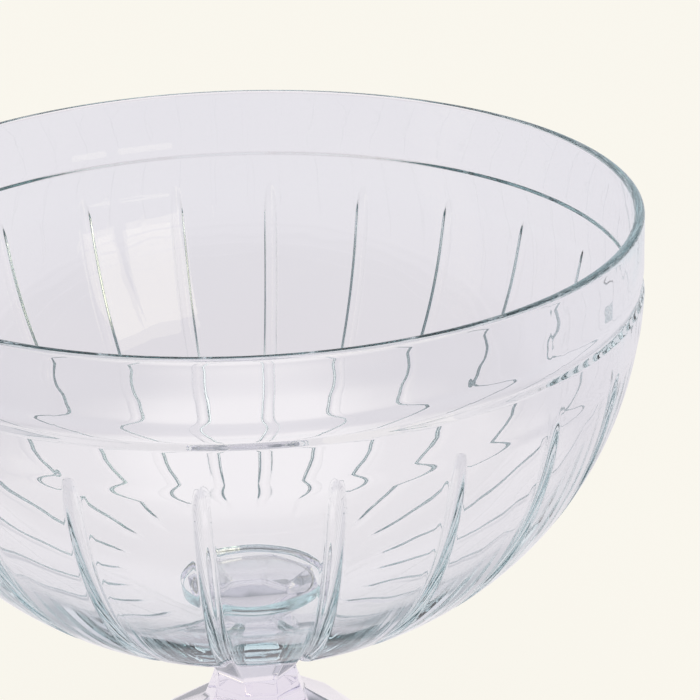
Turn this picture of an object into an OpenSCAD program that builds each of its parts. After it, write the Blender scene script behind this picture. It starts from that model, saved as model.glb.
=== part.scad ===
// Footed trifle bowl in clear pressed glass.
// Two pressings, the bowl and its eight-sided pedestal, are held together by a thin film of clear adhesive.
// Millimetres, +Z up, origin at the centre of the face that the foot rests on.

/* [Bowl] */
// Height from the table to the rim
height = 200; // [192:1:220]
// Diameter over the rim
mouth_d = 230; // [222:1:240]
// Thickness of the fire-polished rim
rim_w = 3; // [2.6:0.1:3.4]
// Depth from the rim to the middle of the bead
collar_h = 21.5; // [19:0.5:24]
// How far the collar widens from the rim to the bead, on each side
collar_flare = 1.2; // [0.8:0.1:1.6]
// Radius of the rounded bead at the lower edge of the collar
bead_r = 2.4; // [2:0.1:2.8]
// How far the bead stands out from the body
bead_proud = 0.8; // [0.6:0.1:1.2]
// How far the round body's centre lies above the bead
ball_lift = 2.1; // [1.6:0.1:2.6]
// Wall thickness at the top of the body
wall_w = 4.1; // [3.8:0.1:4.6]
// Glass thickness at the middle of the base
base_w = 8.5; // [7.5:0.1:10]

/* [Flutes] */
// Number of flutes around the body
flute_count = 22; // [16:1:24]
// Width of each flute
flute_w = 4.8; // [4.6:0.1:5.2]
// Depth of each flute
flute_depth = 1.2; // [1:0.1:1.3]
// Angle below level at which the flutes start
flute_top_angle = 7; // [6:0.5:12]
// Angle below level at which the flutes stop under the bowl
flute_foot_angle = 77.5; // [75:0.5:78]

/* [Bond] */
// Thickness of the adhesive film
film_h = 0.25; // [0.2:0.05:0.4]
// Diameter of the adhesive film
film_d = 41; // [36:0.5:42]
// Diameter of the flat boss under the bowl
boss_d = 46; // [44:0.5:47]
// Length of the boss below the bowl
boss_h = 3; // [2.5:0.5:4]

/* [Pedestal] */
// Number of flat sides on the stem and the foot
sides = 8; // [6:1:12]
// Width of the foot across its corners
foot_d = 104; // [96:1:116]
// Height of the upright edge of the foot
foot_edge_h = 4; // [3:0.5:6]
// Height of the corner between the foot's steep and gentle slopes, as a share of the pedestal's height
shoulder_share = 0.32; // [0.28:0.01:0.36]
// Width across corners at that corner
shoulder_d = 72; // [66:1:78]
// Height to which the foot's ridges climb the stem, as a share of the pedestal's height
ridge_share = 0.59; // [0.57:0.005:0.61]
// Width across corners at the top of those ridges
ridge_d = 27; // [25:0.5:28]
// Height of the stem's root inside the foot, as a share of the pedestal's height
stem_share = 0.48; // [0.46:0.01:0.5]
// Width across corners of the stem at its root
stem_d = 37; // [34:0.5:38]
// Height of the crease above the stem's spread, as a share of the pedestal's height
crease_share = 0.67; // [0.63:0.01:0.69]
// Width across corners at the crease
crease_d = 28; // [27:0.5:30]
// Height of the narrowest place on the stem, as a share of the pedestal's height
waist_share = 0.76; // [0.73:0.01:0.8]
// Width across corners at the narrowest place
waist_d = 26.6; // [24:0.2:27]
// Width across corners of the stem's flat top
seat_d = 46; // [46:0.5:49]
// How far the foot's corners are turned from a flute
foot_turn = 11.25; // [0:0.25:45]
// Diameter of the hollow under the foot
hollow_d = 76; // [60:1:80]
// Depth of the hollow under the foot
hollow_h = 6; // [3:0.5:8]

/* [Hidden] */
$fn = 128;
glass_tint = [0.90, 0.91, 0.93];
film_tint = [0.95, 0.95, 0.90];
mouth_r = mouth_d / 2;
lip_r = mouth_r - rim_w;
rim_z = height - rim_w / 2;
bead_z = height - collar_h;
collar_r = mouth_r + collar_flare;
collar_foot_r = collar_r - bead_r;
tuck_z = bead_z - bead_r / 2;
body_r = collar_r - bead_proud;
ball_z = bead_z + ball_lift;
bowl_bottom_z = ball_z - body_r;
inner_ball_r = body_r - wall_w;
inner_ball_z = bowl_bottom_z + base_w + inner_ball_r;
joint_z = bowl_bottom_z - boss_h;
boss_root = 3;
seat_z = joint_z - film_h;
flute_r = (pow(flute_w / 2, 2) + pow(flute_depth, 2)) / (2 * flute_depth);
flute_path_r = body_r - flute_depth + flute_r;
flute_arc = 60;
flute_flats = 4;
hollow_r = (pow(hollow_d / 2, 2) + pow(hollow_h, 2)) / (2 * hollow_h);
half_side = 180 / sides;
shoulder_z = shoulder_share * seat_z;
ridge_z = ridge_share * seat_z;
stem_z = stem_share * seat_z;
crease_z = crease_share * seat_z;
waist_z = waist_share * seat_z;

// Distance from a ball's axis to its surface, at a distance along that axis from its centre.
function ball_reach(radius, along) = sqrt(pow(radius, 2) - pow(along, 2));

// Everything inside the outer face of the bowl: the collar, its bead and a body shaped by a ball.
module outer_section() {
    polygon([[0, tuck_z], [collar_foot_r, tuck_z], [collar_r, bead_z], [mouth_r, rim_z], [0, rim_z]]);
    translate([collar_foot_r, bead_z]) circle(bead_r);
    intersection() {
        translate([0, ball_z]) circle(body_r);
        square([collar_r, bead_z]);
    }
}

// The space that the bowl holds, up to the middle of its rounded rim.
module inner_section() {
    inner_top_r = ball_reach(inner_ball_r, inner_ball_z - tuck_z);
    polygon([[0, tuck_z], [inner_top_r, tuck_z], [lip_r, rim_z], [lip_r, height], [0, height]]);
    intersection() {
        translate([0, inner_ball_z]) circle(inner_ball_r);
        square([collar_r, tuck_z]);
    }
}

// Wall of the bowl, with its rim melted to a half round.
module bowl_section() {
    difference() {
        outer_section();
        inner_section();
    }
    translate([lip_r + rim_w / 2, rim_z]) circle(rim_w / 2);
}

// The space of one flute: a hollow section, four flats across, swept down the wall about the ball's centre.
module flute() {
    translate([0, 0, ball_z])
        rotate([90, 0, 0])
            rotate([0, 0, -flute_foot_angle])
                rotate_extrude(angle = flute_foot_angle - flute_top_angle)
                    polygon([for (a = [-flute_arc : 2 * flute_arc / flute_flats : flute_arc])
                        [flute_path_r - flute_r * cos(a), flute_r * sin(a)]]);
}

// Pressed bowl with a plain collar, a bead, a fluted body and a flat boss that stands on the stem.
module bowl() {
    color(glass_tint) {
        difference() {
            rotate_extrude() bowl_section();
            for (i = [0 : flute_count - 1])
                rotate([0, 0, 360 * i / flute_count - 90]) flute();
        }
        translate([0, 0, joint_z]) cylinder(d = boss_d, h = boss_h + boss_root);
    }
}

// Cured adhesive between the boss and the top of the stem.
module bond_film() {
    color(film_tint)
        translate([0, 0, seat_z]) cylinder(d = film_d, h = film_h);
}

// Flat-sided tapering block between two heights.
module tapered_block(z0, d0, z1, d1) {
    translate([0, 0, z0]) cylinder(h = z1 - z0, d1 = d0, d2 = d1, $fn = sides);
}

// Pressed pedestal: a waisted stem that grows out of a foot with two slopes, hollowed underneath.
// The stem's corners stand over the middles of the foot's sides, so the foot's ridges climb its flats.
module pedestal() {
    color(glass_tint) {
        difference() {
            rotate([0, 0, foot_turn - 90]) {
                cylinder(h = foot_edge_h, d = foot_d, $fn = sides);
                tapered_block(foot_edge_h, foot_d, shoulder_z, shoulder_d);
                tapered_block(shoulder_z, shoulder_d, ridge_z, ridge_d);
            }
            translate([0, 0, hollow_h - hollow_r]) sphere(hollow_r);
        }
        rotate([0, 0, foot_turn - half_side - 90]) {
            tapered_block(stem_z, stem_d, crease_z, crease_d);
            tapered_block(crease_z, crease_d, waist_z, waist_d);
            tapered_block(waist_z, waist_d, seat_z, seat_d);
        }
    }
}

bowl();
bond_film();
pedestal();
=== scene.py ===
import bpy
import numpy as np
from mathutils import Matrix, Vector


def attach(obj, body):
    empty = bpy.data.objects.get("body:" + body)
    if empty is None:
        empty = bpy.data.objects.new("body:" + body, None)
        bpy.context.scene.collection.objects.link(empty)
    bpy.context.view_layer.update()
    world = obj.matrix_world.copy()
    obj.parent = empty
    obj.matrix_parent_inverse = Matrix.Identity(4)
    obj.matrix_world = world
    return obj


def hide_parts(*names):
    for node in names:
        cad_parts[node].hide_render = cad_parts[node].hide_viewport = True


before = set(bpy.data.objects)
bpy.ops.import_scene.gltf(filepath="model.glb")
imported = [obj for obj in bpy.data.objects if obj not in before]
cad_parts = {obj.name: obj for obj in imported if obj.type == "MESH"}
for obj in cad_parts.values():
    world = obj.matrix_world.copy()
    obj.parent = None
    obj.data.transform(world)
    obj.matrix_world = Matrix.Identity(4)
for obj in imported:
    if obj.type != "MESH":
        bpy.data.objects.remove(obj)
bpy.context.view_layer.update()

# Bowl.
# One pressing of clear soda glass with a faint teal cast: a fire-polished rim, a plain collar above a small
# shoulder, a round body with upright flutes and a faint line where two mould parts met, and a flat boss
# underneath that is bonded to the stem.
MM = 0.001
RIM_Z = 200.0
RIM_RADIUS = 115.3
RIM_WIDTH = 3.0
RIM_CROWN = 0.95
COLLAR_OUTSIDE = ((115.33, 178.3), (115.31, 178.95), (115.34, 180.2), (115.48, 181.6), (115.64, 182.6),
                  (115.73, 183.4), (115.7, 184.6), (115.5, 190.0), (115.42, 194.5), (115.36, 196.4),
                  (115.3, 198.0))
COLLAR_BLUR = 0.5
COLLAR_INSIDE = ((112.36, 188.4), (112.7, 179.0))
BODY_RADIUS = 115.97
BODY_TOP_Z = 179.5
BODY_DEPTH = 111.8
SHOULDER_Z = 176.75
MOULD_LINE = (162.2, 167.3)
MOULD_STEP = 0.19
BUSY_LEVELS = ((161.7, 167.8, 0.3), (176.0, 198.5, 0.8))
INNER_RADIUS = 112.6
INNER_TOP_Z = 180.0
INNER_DEPTH = 106.3
INNER_START_Z = 174.0
WALL_POWER = 2 / 2.1
BOSS_RADIUS = 23.0
BOSS_FACE_Z = 62.2
FLUTES = 22
FLUTE_HALF_WIDTH = 2.4
FLUTE_DEPTH = 1.3
FLUTE_ROUND = 2.2
FLUTE_TOP_Z = 167.4
FLUTE_LENGTH = 126.0
FLUTE_SCOOP = 14.0
FLUTE_RUN_OUT = 22.0
FLUTE_EDGE = 0.08
FLUTE_MARGIN = 3.0
FLUTE_COLUMNS = (0.3, 0.58, 0.78, 0.9, 0.98, 1.05, 1.15, 1.4)
WIDEST_FLUTE_SHARE = 0.66
PLAIN_COLUMNS = 5
LINE_STEP = 0.2
ARC_POINTS = 400
WALL_POINTS = 4000
BLUR_STEP = 0.05
CORNER_BLUR = 0.2
SECTION_ROWS = 200
SECTION_SPACING = 5.0
DEGREES_PER_ROW = 9
BOWL_TINTS = ((0.975, 0.975, 0.985), (0.99, 0.99, 0.995))
BOWL_BODY_COLOUR = (0.0, 0.69, 0.78)
BOWL_BODY_DENSITY = 2.5
PEEL_SHARE = 0.006
HAZE_ROUGHNESS = 0.012


def line(start, end):
    """Points about a fifth of a millimetre apart on a straight line, without its end."""
    start, end = np.array(start, float), np.array(end, float)
    count = max(2, int(np.linalg.norm(end - start) / LINE_STEP))
    return start + np.linspace(0, 1, count, endpoint=False)[:, None] * (end - start)


def arc(centre, radius, first, last):
    """Points on an arc between two angles in degrees, without its end.
    The radius may differ across and up."""
    turn = np.radians(np.linspace(first, last, ARC_POINTS, endpoint=False))
    return np.array(centre) + np.array(radius) * np.stack([np.cos(turn), np.sin(turn)], 1)


def soften(path, blur):
    """A path spaced evenly and averaged along its length, so that its corners turn round. Its ends stay."""
    run = np.concatenate([[0], np.cumsum(np.linalg.norm(np.diff(path, axis=0), axis=1))])
    even = np.arange(0, run[-1], BLUR_STEP)
    path = np.stack([np.interp(even, run, path[:, k]) for k in (0, 1)], 1)
    reach = int(4 * blur / BLUR_STEP)
    weight = np.exp(-0.5 * (np.arange(-reach, reach + 1) * BLUR_STEP / blur) ** 2)
    padded = np.concatenate([2 * path[0] - path[reach:0:-1], path, 2 * path[-1] - path[-2:-reach - 2:-1]])
    return np.stack([np.convolve(padded[:, k], weight / weight.sum(), "valid") for k in (0, 1)], 1)


def thin_out(path, rows, longest, busy):
    """Keeps so many points of a fine path, closer together where it bends: the spacing follows its turning.
    Each busy range of heights on the outside, from low to high, has a spacing of its own."""
    ahead = np.diff(path, axis=0)
    length = np.linalg.norm(ahead, axis=1)
    heading = np.unwrap(np.arctan2(ahead[:, 1], ahead[:, 0]))
    turning = np.abs(np.gradient(heading))
    level = path[1:, 1]
    spacing = np.full(len(level), longest)
    for low, high, close in busy:
        spacing = np.where((level > low) & (level < high) & (ahead[:, 1] > 0), close, spacing)
    weight = np.concatenate([[0], np.cumsum(length / spacing + turning / np.radians(DEGREES_PER_ROW))])
    where = np.interp(np.linspace(0, weight[-1], rows), weight, np.arange(len(path)))
    return np.stack([np.interp(where, np.arange(len(path)), path[:, k]) for k in (0, 1)], 1)


def round_wall(radius, top_z, depth, tilt):
    """One face of the body: nearly a ball, whose section runs on powers of the cosine and sine of a tilt."""
    return np.stack([radius * np.cos(tilt) ** WALL_POWER, top_z - depth * np.sin(tilt) ** WALL_POWER], 1)


def bowl_section():
    """Half section of the bowl: from the boss's middle up the outside, over the rim and down the inside.
    The outside steps out at the mould line by a smooth cubic of the height."""
    boss_tilt = np.arccos((BOSS_RADIUS / BODY_RADIUS) ** (1 / WALL_POWER))
    shoulder_tilt = np.arcsin(((BODY_TOP_Z - SHOULDER_Z) / BODY_DEPTH) ** (1 / WALL_POWER))
    outer_tilt = np.linspace(boss_tilt, shoulder_tilt, WALL_POINTS)
    outside = round_wall(BODY_RADIUS, BODY_TOP_Z, BODY_DEPTH, outer_tilt)
    climb = np.clip((outside[:, 1] - MOULD_LINE[0]) / (MOULD_LINE[1] - MOULD_LINE[0]), 0, 1)
    outside[:, 0] += MOULD_STEP * climb ** 2 * (3 - 2 * climb)
    inner_start = np.arcsin(((INNER_TOP_Z - INNER_START_Z) / INNER_DEPTH) ** (1 / WALL_POWER))
    inner_tilt = np.linspace(inner_start, np.pi / 2, WALL_POINTS)
    inside = round_wall(INNER_RADIUS, INNER_TOP_Z, INNER_DEPTH, inner_tilt)
    lip = (RIM_RADIUS - RIM_WIDTH / 2, RIM_Z - RIM_CROWN)
    path = np.concatenate([
        line((0, BOSS_FACE_Z), (BOSS_RADIUS, BOSS_FACE_Z)),
        line((BOSS_RADIUS, BOSS_FACE_Z), outside[0]),
        outside,
        soften(np.array(COLLAR_OUTSIDE), COLLAR_BLUR),
        arc(lip, (RIM_WIDTH / 2, RIM_CROWN), 0, 180),
        COLLAR_INSIDE,
        inside,
    ])
    return thin_out(soften(path, CORNER_BLUR), SECTION_ROWS, SECTION_SPACING, BUSY_LEVELS)


def flute_hollow(across, along):
    """Depth of a flute: it deepens from its top as a scoop does and fades out at its foot. Its section rises
    from the middle with a power of the distance across, so a shallow place is narrow too."""
    scoop = np.minimum(along / FLUTE_SCOOP, 1)
    fade = np.clip((along - FLUTE_LENGTH) / FLUTE_RUN_OUT + 1, 0, None)
    depth = FLUTE_DEPTH * scoop * (2 - scoop) * (1 - fade ** 2)
    sunk = depth - FLUTE_DEPTH * (np.abs(across) / FLUTE_HALF_WIDTH) ** FLUTE_ROUND
    return (sunk + np.sqrt(sunk ** 2 + FLUTE_EDGE ** 2)) / 2


def closed_of_turns(turn, radius, height):
    """A closed skin: every row of the grid is a ring about the axis, and the first and last rings are points.
    Rings hold one vertex for each column; the two poles close the ends with fans of triangles."""
    rows, columns = radius.shape
    rings = np.stack([radius * np.sin(turn), -radius * np.cos(turn), height], -1)[1:-1].reshape(-1, 3)
    points = np.concatenate([rings, [[0, 0, height[0, 0]], [0, 0, height[-1, 0]]]]) * MM
    ring = np.arange(rows - 3)[:, None] * columns
    here = np.arange(columns)
    after = (here + 1) % columns
    quads = np.stack([ring + here, ring + after, ring + columns + after, ring + columns + here], -1)
    top_ring = (rows - 3) * columns
    low, high = len(points) - 2, len(points) - 1
    fans = np.concatenate([np.stack([np.full(columns, low), after, here], 1),
                           np.stack([np.full(columns, high), top_ring + here, top_ring + after], 1)])
    return points, quads.reshape(-1, 4).tolist() + fans.tolist()


def piece_of(name, points, faces):
    """A smooth-shaded object at the origin with its place in its mesh."""
    mesh = bpy.data.meshes.new(name)
    mesh.from_pydata(points.tolist(), [], faces)
    mesh.polygons.foreach_set("use_smooth", np.ones(len(mesh.polygons), bool))
    mesh.update()
    piece = bpy.data.objects.new(name, mesh)
    bpy.context.scene.collection.objects.link(piece)
    return piece


def bowl_skin():
    """The half section turned about the axis, with each flute pressed inwards along the wall's own normal.
    Columns gather at the flutes: their edges run along columns at every height."""
    section = bowl_section()
    radius, height = section[:, :1], section[:, 1:]
    across = np.concatenate([-np.array(FLUTE_COLUMNS[::-1]), [0], FLUTE_COLUMNS])
    share = np.linspace(0, 1, PLAIN_COLUMNS + 2)[1:-1]
    half_pitch = np.pi / FLUTES
    wall_radius = np.where(height < FLUTE_TOP_Z, radius, np.max(radius))
    flute_turn = np.minimum(FLUTE_HALF_WIDTH / np.maximum(wall_radius, 1), WIDEST_FLUTE_SHARE * half_pitch)
    inside = np.arange(len(section))[:, None] > np.argmax(height)
    flute_turn = np.where(inside, FLUTE_HALF_WIDTH / RIM_RADIUS, flute_turn)
    edge = flute_turn * across[-1]
    pitch = np.concatenate([flute_turn * across, edge + (2 * half_pitch - 2 * edge) * share], 1)
    start = np.arange(FLUTES) * 2 * half_pitch
    turn = (start[None, :, None] + pitch[:, None, :]).reshape(len(section), -1)
    offset = np.where(pitch > half_pitch, pitch - 2 * half_pitch, pitch)
    spread = np.tile(offset, (1, FLUTES)) * radius
    run = np.concatenate([[0], np.cumsum(np.linalg.norm(np.diff(section, axis=0), axis=1))])[:, None]
    on_wall = ~inside & (height > BOSS_FACE_Z + FLUTE_MARGIN) & (height < FLUTE_TOP_Z + FLUTE_MARGIN)
    top_run = np.interp(FLUTE_TOP_Z, height[on_wall], run[on_wall])
    hollow = np.where(on_wall, flute_hollow(spread, top_run - run), 0)
    slope = np.gradient(section, axis=0)
    slope /= np.linalg.norm(slope, axis=1, keepdims=True)
    return closed_of_turns(turn, radius - hollow * slope[:, 1:], height + hollow * slope[:, :1])


class Shade:
    """A shader socket. Arithmetic on it adds Math nodes, and add() puts in any other node."""

    def __init__(self, tree, socket=None):
        self.tree, self.socket = tree, socket

    def add(self, kind, settings=None, sockets=None, out=0):
        """Adds a node by its type, sets its settings, then the values or links of its sockets."""
        node = self.tree.nodes.new(kind)
        for name, value in (settings or {}).items():
            if name == "stops":
                ramp = node.color_ramp.elements
                while len(ramp) < len(value):
                    ramp.new(1.0)
                for stop, (place, colour) in zip(ramp, value):
                    stop.position, stop.color = place, (*colour, 1)
            else:
                setattr(node, name, value)
        for name, value in (sockets or {}).items():
            if isinstance(value, Shade):
                self.tree.links.new(value.socket, node.inputs[name])
            else:
                node.inputs[name].default_value = value
        return Shade(self.tree, node.outputs[out] if node.outputs else None)

    def math(self, operation, first, second):
        return self.add("ShaderNodeMath", {"operation": operation}, {0: first, 1: second})

    def __add__(self, other):
        return self.math("ADD", self, other)

    def __sub__(self, other):
        return self.math("SUBTRACT", self, other)

    def __rsub__(self, other):
        return self.math("SUBTRACT", other, self)

    def __mul__(self, other):
        return self.math("MULTIPLY", self, other)

    def at_most_one(self):
        return self.math("MINIMUM", self, 1.0)

    __radd__, __rmul__ = __add__, __mul__


def new_material(name):
    """An empty node material and the start of its shader."""
    material = bpy.data.materials.new(name)
    material.use_nodes = True
    material.node_tree.nodes.clear()
    return material, Shade(material.node_tree)


def pressed_glass(name, tint_low, tint_high, body_colour, density):
    """Clear glass with the slow ripple that a press leaves, a trace of handling haze and a body colour.
    The colour comes from absorption on the way through, so it gathers in edges and thick places."""
    material, shade = new_material(name)
    place = shade.add("ShaderNodeTexCoord", out=3)
    ripple = shade.add("ShaderNodeTexNoise", None, {"Vector": place, "Scale": 55.0, "Detail": 1.0})
    peel = shade.add("ShaderNodeTexNoise", None, {"Vector": place, "Scale": 320.0, "Detail": 0.0})
    press = shade.add("ShaderNodeBump", None, {"Strength": 0.05, "Distance": 0.002,
                                               "Height": ripple + PEEL_SHARE * peel})
    haze = shade.add("ShaderNodeTexNoise", None, {"Vector": place, "Scale": 24.0, "Detail": 4.0})
    tint = shade.add("ShaderNodeValToRGB", {"stops": [(0.35, tint_low), (0.65, tint_high)]}, {"Fac": haze})
    glass = shade.add("ShaderNodeBsdfPrincipled", None, {
        "Base Color": tint, "Roughness": HAZE_ROUGHNESS * haze, "Normal": press,
        "Transmission Weight": 1.0, "IOR": 1.5})
    body = shade.add("ShaderNodeVolumeAbsorption", None, {"Color": (*body_colour, 1), "Density": density})
    shade.add("ShaderNodeOutputMaterial", None, {"Surface": glass, "Volume": body})
    return material


bowl = piece_of("glass_bowl", *bowl_skin())
bowl.data.materials.append(pressed_glass("teal_cast_glass", *BOWL_TINTS, BOWL_BODY_COLOUR, BOWL_BODY_DENSITY))
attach(bowl, "root")
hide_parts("bowl")

# Bond.
# A thin disc of clear adhesive, cured between the boss and the top of the stem.
# It is pressed out to a shallow hollow edge where it wets both pieces of glass.
FILM_RADIUS = 20.5
FILM_TOP_Z = 62.17
FILM_BOTTOM_Z = 61.98
FILM_DRAW_IN = 0.12
FILM_FLAT_SHARE = 0.96
FILM_EDGE_ROWS = 9
FILM_FACE_ROWS = 7
FILM_COLUMNS = 96
FILM_TINTS = ((0.97, 0.97, 0.95), (0.99, 0.99, 0.98))
FILM_BODY_COLOUR = (0.9, 0.9, 0.6)
FILM_BODY_DENSITY = 4.0


def film_skin():
    """A disc whose edge draws in between its two faces, as a liquid does before it cures."""
    level = np.linspace(-1, 1, FILM_EDGE_ROWS)
    edge = np.stack([FILM_RADIUS - FILM_DRAW_IN * (1 - level ** 2),
                     (FILM_TOP_Z + FILM_BOTTOM_Z) / 2 + level * (FILM_TOP_Z - FILM_BOTTOM_Z) / 2], 1)
    faces = np.linspace(0, FILM_FLAT_SHARE, FILM_FACE_ROWS) * FILM_RADIUS
    section = np.concatenate([np.stack([faces, np.full(FILM_FACE_ROWS, FILM_BOTTOM_Z)], 1), edge,
                              np.stack([faces[::-1], np.full(FILM_FACE_ROWS, FILM_TOP_Z)], 1)])
    turn = np.linspace(0, 2 * np.pi, FILM_COLUMNS, endpoint=False)[None, :] + 0 * section[:, :1]
    return closed_of_turns(turn, section[:, :1] + 0 * turn, section[:, 1:] + 0 * turn)


film = piece_of("adhesive_film", *film_skin())
film.data.materials.append(pressed_glass("cured_adhesive", *FILM_TINTS, FILM_BODY_COLOUR, FILM_BODY_DENSITY))
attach(film, "root")
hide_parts("bond_film")

# Pedestal.
# A second pressing of clear glass with a lilac cast: an eight-sided waisted stem that spreads into an
# eight-sided foot with two slopes. The foot's corners stand under the middles of the stem's sides,
# and a shallow hollow underneath leaves a flat ring to rest on.
SIDES = 8
FOOT_CORNER_TURN = 11.25
STEM_LEVELS = (61.95, 47.08, 41.51, 29.74)
STEM_CORNERS = (23.0, 13.3, 14.0, 18.5)
FOOT_LEVELS = (38.6, 36.55, 19.82, 4.0, 0.0)
FOOT_CORNERS = (10.7, 13.5, 36.0, 52.0, 52.0)
HOLLOW_RADIUS = 38.0
HOLLOW_DEPTH = 6.0
EDGE_CRISPNESS = 90
FINE_LEVELS = 3000
CREASE_BLUR = 0.35
CREASE_REACH = 80
STEM_FROM_Z = 29.0
FOOT_UP_TO_Z = 38.5
SIDE_ROWS = 150
SIDE_SPACING = 1.2
CROSSING_LEVELS = (30.0, 38.0)
CROSSING_ROWS = 34
CROSSING_ROUND = 0.3
CROSSING_TRIM = 0.05
EDGE_STEPS = (0.2, 0.06)
EDGE_CUT = 0.6
HOLLOW_ROWS = 26
REST_ROWS = 7
SEAT_ROWS = 11
COLUMNS_PER_SIDE = 28
PEDESTAL_TINTS = ((0.975, 0.965, 0.985), (0.99, 0.985, 0.995))
PEDESTAL_BODY_COLOUR = (0.5, 0.4, 0.8)
PEDESTAL_BODY_DENSITY = 2.5


def flat_sided(corner, turn, first_corner):
    """Distance to a regular outline with slightly rounded corners: a high power mean,
    in which the nearest side wins."""
    half_side = np.pi / SIDES
    middles = np.radians(first_corner) + half_side + np.arange(SIDES) * 2 * half_side
    facing = np.clip(np.cos(turn[..., None] - middles), 0, None)
    return corner * np.cos(half_side) / (facing ** EDGE_CRISPNESS).sum(-1) ** (1 / EDGE_CRISPNESS)


def soft_creases(size, step):
    """Sizes at even heights averaged with a bell-shaped weight, so that creases turn slightly round."""
    weight = np.exp(-0.5 * (np.arange(-CREASE_REACH, CREASE_REACH + 1) * step / CREASE_BLUR) ** 2)
    return np.convolve(np.pad(size, CREASE_REACH, "edge"), weight / weight.sum(), "valid")


def pedestal_skin():
    """Rings of the stem and of the foot, one outline turned half a side from the other; the wider one shows.
    A flat seat closes the top, and a shallow ball-shaped hollow closes the underside."""
    level = np.linspace(0, STEM_LEVELS[0], FINE_LEVELS)
    stem = soft_creases(np.interp(level, STEM_LEVELS[::-1], STEM_CORNERS[::-1], left=0), level[1])
    foot = soft_creases(np.interp(level, FOOT_LEVELS[::-1], FOOT_CORNERS[::-1], right=0), level[1])
    stem, foot = np.where(level < STEM_FROM_Z, 0, stem), np.where(level > FOOT_UP_TO_Z, 0, foot)
    rows = thin_out(np.stack([np.maximum(stem, foot), level], 1), SIDE_ROWS, SIDE_SPACING, ())[:, 1]
    rows = np.sort(np.concatenate([rows, np.linspace(*CROSSING_LEVELS, CROSSING_ROWS)]))
    columns = np.linspace(0, 2 * np.pi, SIDES * COLUMNS_PER_SIDE, endpoint=False)
    turn = columns[None, :] + 0 * rows[:, None]
    stem_radius = flat_sided(np.interp(rows, level, stem)[:, None], turn, FOOT_CORNER_TURN + 180 / SIDES)
    foot_radius = flat_sided(np.interp(rows, level, foot)[:, None], turn, FOOT_CORNER_TURN)
    gap = stem_radius - foot_radius
    side = foot_radius + (gap + np.sqrt(gap ** 2 + CROSSING_ROUND ** 2)) / 2 - CROSSING_TRIM
    ball = (HOLLOW_RADIUS ** 2 + HOLLOW_DEPTH ** 2) / (2 * HOLLOW_DEPTH)
    reach = np.linspace(0, 1, HOLLOW_ROWS)[:, None] * HOLLOW_RADIUS
    under = np.sqrt(ball ** 2 - reach ** 2) + HOLLOW_DEPTH - ball
    rest = np.linspace(0, 1, REST_ROWS + 2)[1:-1, None]
    seat = np.linspace(1, 0, SEAT_ROWS + 1)[1:, None]
    steps = np.array(EDGE_STEPS)[:, None]
    radius = np.concatenate([
        reach + 0 * turn[:1], HOLLOW_RADIUS + rest * (side[:1] - EDGE_CUT - HOLLOW_RADIUS), side[:1] - steps,
        side[1:-1], side[-1:] - steps[::-1], (side[-1:] - EDGE_CUT) * seat])
    height = np.concatenate([
        under, 0 * rest, steps[::-1], rows[1:-1, None], rows[-1] - steps, rows[-1] + 0 * seat])
    turn = columns[None, :] + 0 * radius
    return closed_of_turns(turn, radius, height + 0 * turn)


pedestal = piece_of("glass_pedestal", *pedestal_skin())
pedestal.data.materials.append(pressed_glass("lilac_cast_glass", *PEDESTAL_TINTS, PEDESTAL_BODY_COLOUR,
                                             PEDESTAL_BODY_DENSITY))
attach(pedestal, "root")
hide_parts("pedestal")

# Table.
# A plain pale sheet of paper. The camera sees an even cream, and the glass shows it cooler, with a painted
# pool of light behind the bowl, painted light under the middle of the foot, a painted shadow ring round the
# foot's edge and painted shade under the bowl. Both keep a share of the light that falls on the paper, so
# that the bowl still casts its shadow.
CREAM = (0.974, 0.948, 0.872)
# Tones the glass sees by distance from the axis: painted light under the middle of the foot, a painted shadow
# ring round the foot's edge, then painted shade under and round the bowl that lightens outwards to the
# paper's own tone.
PAPER_PAINTED_LIGHT_AND_SHADE = ((0.0, (0.96, 0.93, 0.98)), (0.058, (0.96, 0.93, 0.98)), (0.068, (0.46, 0.48, 0.52)),
         (0.090, (0.46, 0.48, 0.52)), (0.106, (0.60, 0.60, 0.64)), (0.156, (0.72, 0.70, 0.74)),
         (0.225, (0.81, 0.775, 0.81)), (0.32, (0.81, 0.775, 0.81)), (0.42, (0.83, 0.795, 0.835)),
         (0.75, (0.85, 0.83, 0.87)))
PAINTED_RINGS_REACH = 0.8
# A painted pool of light on the paper behind the bowl, which only the glass shows.
PAINTED_POOL_PLACE = (0.0, 0.15, 0.0)
PAINTED_POOL_REACH = (0.125, 0.175)
PAINTED_POOL_TONE = (0.96, 0.915, 0.935)
CAMERA_SHARE = 0.95
GLASS_SHARE = 0.92
TABLE_RADIUS = 1.6
TABLE_RINGS = 23
TABLE_COLUMNS = 96


def table_skin():
    """A flat disc of rings about the axis."""
    reach = np.linspace(0, 1, TABLE_RINGS + 1)[1:, None] * TABLE_RADIUS
    turn = np.linspace(0, 2 * np.pi, TABLE_COLUMNS, endpoint=False)[None, :]
    points = np.stack([reach * np.sin(turn), -reach * np.cos(turn), 0 * reach + 0 * turn], -1).reshape(-1, 3)
    ring = np.arange(TABLE_RINGS - 1)[:, None] * TABLE_COLUMNS
    here = np.arange(TABLE_COLUMNS)
    after = (here + 1) % TABLE_COLUMNS
    outer = ring + TABLE_COLUMNS
    quads = np.stack([ring + here, outer + here, outer + after, ring + after], -1).reshape(-1, 4)
    fan = np.stack([np.full(TABLE_COLUMNS, len(points)), here, after], 1)
    return np.concatenate([points, [[0, 0, 0]]]), quads.tolist() + fan.tolist()


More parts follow.
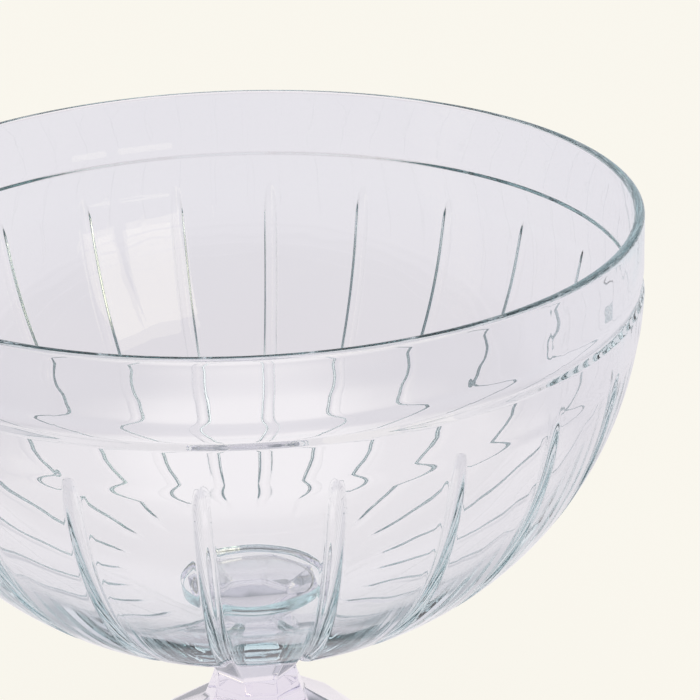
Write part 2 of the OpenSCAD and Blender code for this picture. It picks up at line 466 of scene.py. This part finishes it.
table = piece_of("table_top", *table_skin())
table_material, shade = new_material("paper_table_painted_light_and_shade")
path = shade.add("ShaderNodeLightPath")
camera_ray, glossy_ray, glass_ray = (Shade(shade.tree, path.socket.node.outputs[name])
                                     for name in ("Is Camera Ray", "Is Glossy Ray", "Is Transmission Ray"))
place = shade.add("ShaderNodeTexCoord", out=3)
reach = shade.add("ShaderNodeVectorMath", {"operation": "LENGTH"}, {0: place}, out=1)
# The painted light and shade rings, read by distance from the axis.
paper_painted_light_and_shade = shade.add("ShaderNodeValToRGB", {"stops": PAPER_PAINTED_LIGHT_AND_SHADE}, {"Fac": (1 / PAINTED_RINGS_REACH) * reach})
# The painted pool of light behind the bowl, mixed into the paper's tones.
off_painted_pool = shade.add("ShaderNodeVectorMath", {"operation": "DISTANCE"}, {0: place, 1: PAINTED_POOL_PLACE}, out=1)
painted_pool = shade.add("ShaderNodeMapRange", {"interpolation_type": "SMOOTHSTEP"},
                 {"Value": off_painted_pool, "From Min": PAINTED_POOL_REACH[1], "From Max": PAINTED_POOL_REACH[0]})
paper_painted_light_and_shade = shade.add("ShaderNodeMix", {"data_type": "RGBA"}, {0: painted_pool, 6: paper_painted_light_and_shade, 7: (*PAINTED_POOL_TONE, 1)}, out=2)
tone = shade.add("ShaderNodeMix", {"data_type": "RGBA"}, {0: camera_ray, 6: paper_painted_light_and_shade, 7: (*CREAM, 1)}, out=2)
lit = shade.add("ShaderNodeBsdfDiffuse", None, {"Color": tone})
# The emission glows with the even cream for the camera, and with the painted light and shade for the glass.
plain = shade.add("ShaderNodeEmission", None, {"Color": tone, "Strength": 1.0})
in_glass = (1 - camera_ray) * (glossy_ray + glass_ray).at_most_one()
shown = CAMERA_SHARE * camera_ray + GLASS_SHARE * in_glass
shade.add("ShaderNodeOutputMaterial", None,
          {"Surface": shade.add("ShaderNodeMixShader", None, {0: shown, 1: lit, 2: plain})})
table.data.materials.append(table_material)

# Studio.
# A pale backdrop all round near the level of the table, a dimmer room above it, a bright ceiling and a pale
# panel behind. A window of two panes stands behind the camera's right shoulder. The camera sees plain cream.
ROOM = ((0.50, (0.78, 0.77, 0.81)), (0.56, (0.72, 0.71, 0.75)), (0.63, (0.25, 0.27, 0.29)),
        (0.90, (0.23, 0.25, 0.27)), (0.955, (1.15, 1.14, 1.13)), (1.0, (1.20, 1.19, 1.18)))
PANEL_EDGE = (0.82, 0.92)
PANEL_TONE = (0.70, 0.69, 0.73)
WINDOW_TINT = (1.0, 0.92, 0.66)
WINDOW_HEIGHT = 0.80
BOWL_MIDDLE = (0, 0, 0.15)
studio = bpy.data.worlds.new("studio")
studio.use_nodes = True
studio.node_tree.nodes.clear()
bpy.context.scene.world = studio
shade = Shade(studio.node_tree)
path = shade.add("ShaderNodeLightPath")
toward = shade.add("ShaderNodeTexCoord")
height = shade.add("ShaderNodeSeparateXYZ", None, {0: toward}, out=2)
room = shade.add("ShaderNodeValToRGB", {"stops": ROOM}, {"Fac": 0.5 * height + 0.5})
away = shade.add("ShaderNodeSeparateXYZ", None, {0: toward}, out=1)
behind = shade.add("ShaderNodeMapRange", {"interpolation_type": "SMOOTHSTEP"},
                   {"Value": away, "From Min": PANEL_EDGE[0], "From Max": PANEL_EDGE[1]})
room = shade.add("ShaderNodeMix", {"data_type": "RGBA"}, {0: behind, 6: room, 7: (*PANEL_TONE, 1)}, out=2)
around = shade.add("ShaderNodeBackground", None, {"Color": room, "Strength": 1.0})
backdrop = shade.add("ShaderNodeBackground", None, {"Color": (*CREAM, 1), "Strength": 1.0})
shade.add("ShaderNodeOutputWorld", None,
          {"Surface": shade.add("ShaderNodeMixShader", None, {0: path, 1: around, 2: backdrop})})


def soft_box(name, place, aim, width, length, power, colour):
    """A rectangular lamp that faces a point."""
    lamp = bpy.data.lights.new(name, "AREA")
    lamp.shape, lamp.size, lamp.size_y = "RECTANGLE", width, length
    lamp.energy, lamp.color = power, colour
    box = bpy.data.objects.new(name, lamp)
    box.location = place
    box.rotation_euler = (Vector(aim) - Vector(place)).to_track_quat("-Z", "Y").to_euler()
    bpy.context.scene.collection.objects.link(box)


soft_box("narrow_pane", (0.87, -0.65, 0.58), BOWL_MIDDLE, 0.25, WINDOW_HEIGHT, 0.95, WINDOW_TINT)
soft_box("wide_pane", (0.62, -0.90, 0.58), BOWL_MIDDLE, 0.38, WINDOW_HEIGHT, 1.4, WINDOW_TINT)

# Camera.
# It stands in front of the bowl and a little above the rim, and cuts off the bowl's left side and foot.
CAMERA_PLACE = (0.0544, -0.5422, 0.3850)
CAMERA_TURN = np.radians(2.42)
CAMERA_PITCH = 0.4036
CAMERA_ROLL = 0.017
camera = bpy.data.objects.new("camera", bpy.data.cameras.new("camera"))
camera.data.sensor_width = 36.0
camera.data.lens = 103.27
camera.data.clip_start = 0.02
ahead = Vector((-np.sin(CAMERA_TURN) * np.cos(CAMERA_PITCH), np.cos(CAMERA_TURN) * np.cos(CAMERA_PITCH),
                -np.sin(CAMERA_PITCH)))
right = ahead.cross(Vector((0, 0, 1))).normalized()
above = right.cross(ahead)
right, above = (right - CAMERA_ROLL * above).normalized(), (above + CAMERA_ROLL * right).normalized()
camera.matrix_world = Matrix.Translation(CAMERA_PLACE) @ Matrix((right, above, -ahead)).transposed().to_4x4()
bpy.context.scene.collection.objects.link(camera)
bpy.context.scene.camera = camera
bpy.context.scene.view_settings.view_transform = "Standard"
bpy.context.scene.cycles.max_bounces = 48
bpy.context.scene.cycles.transmission_bounces = 48
bpy.context.scene.cycles.glossy_bounces = 24
bpy.context.scene.cycles.caustics_refractive = False
